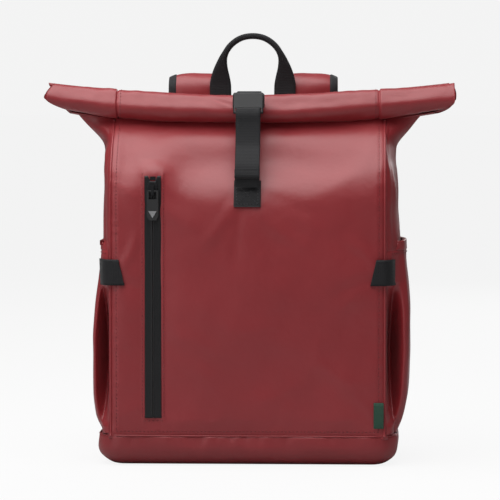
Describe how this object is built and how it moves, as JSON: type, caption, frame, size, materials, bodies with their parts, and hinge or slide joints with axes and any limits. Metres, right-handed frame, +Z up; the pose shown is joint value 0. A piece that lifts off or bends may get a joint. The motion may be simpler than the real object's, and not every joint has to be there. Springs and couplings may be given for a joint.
{
  "type": "roll-top backpack",
  "caption": "Roll-top travel backpack in coated cloth with a hook closure, a front zip pocket, side pockets, a top handle and shoulder straps.",
  "frame": {"origin": "middle of the flat underside of the base", "axes": "+Z up, -Y is the front with the zip and the closure, +X is to the right seen from the front"},
  "size_m": [0.3698, 0.1662, 0.3863],
  "materials": {
    "shell_fabric": "satin coated cloth",
    "boot_fabric": "satin coated cloth",
    "strap_fabric": "satin coated cloth",
    "black_webbing": "woven nylon",
    "black_binding": "woven tape",
    "black_mesh": "spacer mesh over foam",
    "stretch_band": "woven nylon",
    "lining_fabric": "matt nylon",
    "foam": "matt foam",
    "stiff_plastic": "matt",
    "buckle_plastic": "fine texture",
    "hook_metal": "satin black",
    "zip_tape": "film-faced tape",
    "zip_teeth": "smooth",
    "zip_metal": "satin black",
    "pull_rubber": "matt",
    "pull_tip_metal": "satin",
    "label_fabric": "woven"
  },
  "bodies": {
    "bag": {"front_panel": "shell_fabric", "back_panel": "shell_fabric", "gusset_left": "shell_fabric", "gusset_right": "shell_fabric", "roll_collar": "shell_fabric", "side_pocket_left": "shell_fabric", "side_pocket_right": "shell_fabric", "pocket_binding_left": "shell_fabric", "pocket_binding_right": "shell_fabric", "base_boot": "boot_fabric", "strap_root_left": "strap_fabric", "strap_root_right": "strap_fabric", "rear_strap": "black_webbing", "front_strap_anchor": "black_webbing", "handle_anchor": "black_webbing", "pocket_tab_left": "black_webbing", "pocket_tab_right": "black_webbing", "anchor_tab_left": "black_webbing", "anchor_tab_right": "black_webbing", "strap_yoke": "black_binding", "back_pad_left": "black_mesh", "back_pad_right": "black_mesh", "trolley_band": "stretch_band", "lining": "lining_fabric", "front_pocket_bag": "lining_fabric", "laptop_sleeve": "lining_fabric", "back_foam_sheet": "foam", "base_board": "stiff_plastic", "hem_stiffener_front": "stiff_plastic", "hem_stiffener_back": "stiff_plastic", "closure_ring": "hook_metal", "zip_tape_left": "zip_tape", "zip_tape_right": "zip_tape", "zip_coil": "zip_teeth", "zip_end_stops": "zip_metal", "side_label": "label_fabric"},
    "zip_slider_body": {"zip_slider": "zip_metal"},
    "zip_pull_body": {"zip_pull": "pull_rubber", "zip_pull_tip": "pull_tip_metal"},
    "front_closure": {"front_strap": "black_webbing", "front_strap_tail": "black_webbing", "closure_hook": "hook_metal"},
    "handle": {"top_handle": "black_webbing"},
    "strap_left": {"strap_cover_left": "strap_fabric", "strap_mesh_left": "black_mesh", "ladder_lock_left": "buckle_plastic", "strap_keeper_left": "black_webbing", "adjuster_webbing_left": "black_webbing", "adjuster_tail_left": "black_webbing"},
    "strap_right": {"strap_cover_right": "strap_fabric", "strap_mesh_right": "black_mesh", "ladder_lock_right": "buckle_plastic", "strap_keeper_right": "black_webbing", "adjuster_webbing_right": "black_webbing", "adjuster_tail_right": "black_webbing"}
  },
  "joints": [
    {"name": "zip_slide", "type": "slide", "parent": "bag", "child": "zip_slider_body", "axis": [0, 0, -1], "range_m": [0, 0.196]},
    {"name": "zip_pull_swing", "type": "hinge", "parent": "zip_slider_body", "child": "zip_pull_body", "pos_m": [-0.084, -0.06485, 0.2455], "axis": [-1, 0, 0], "range_deg": [0, 150]},
    {"name": "closure_swing", "type": "hinge", "parent": "bag", "child": "front_closure", "pos_m": [0, -0.0631, 0.2572], "axis": [1, 0, 0], "range_deg": [0, 160]},
    {"name": "handle_swing", "type": "hinge", "parent": "bag", "child": "handle", "pos_m": [0, 0.0632, 0.302], "axis": [1, 0, 0], "range_deg": [0, 55]},
    {"name": "strap_swing_left", "type": "hinge", "parent": "bag", "child": "strap_left", "pos_m": [-0.051, 0.082, 0.347], "axis": [1, 0, 0], "range_deg": [0, 20]},
    {"name": "strap_swing_right", "type": "hinge", "parent": "bag", "child": "strap_right", "pos_m": [0.051, 0.082, 0.347], "axis": [1, 0, 0], "range_deg": [0, 20]}
  ]
}
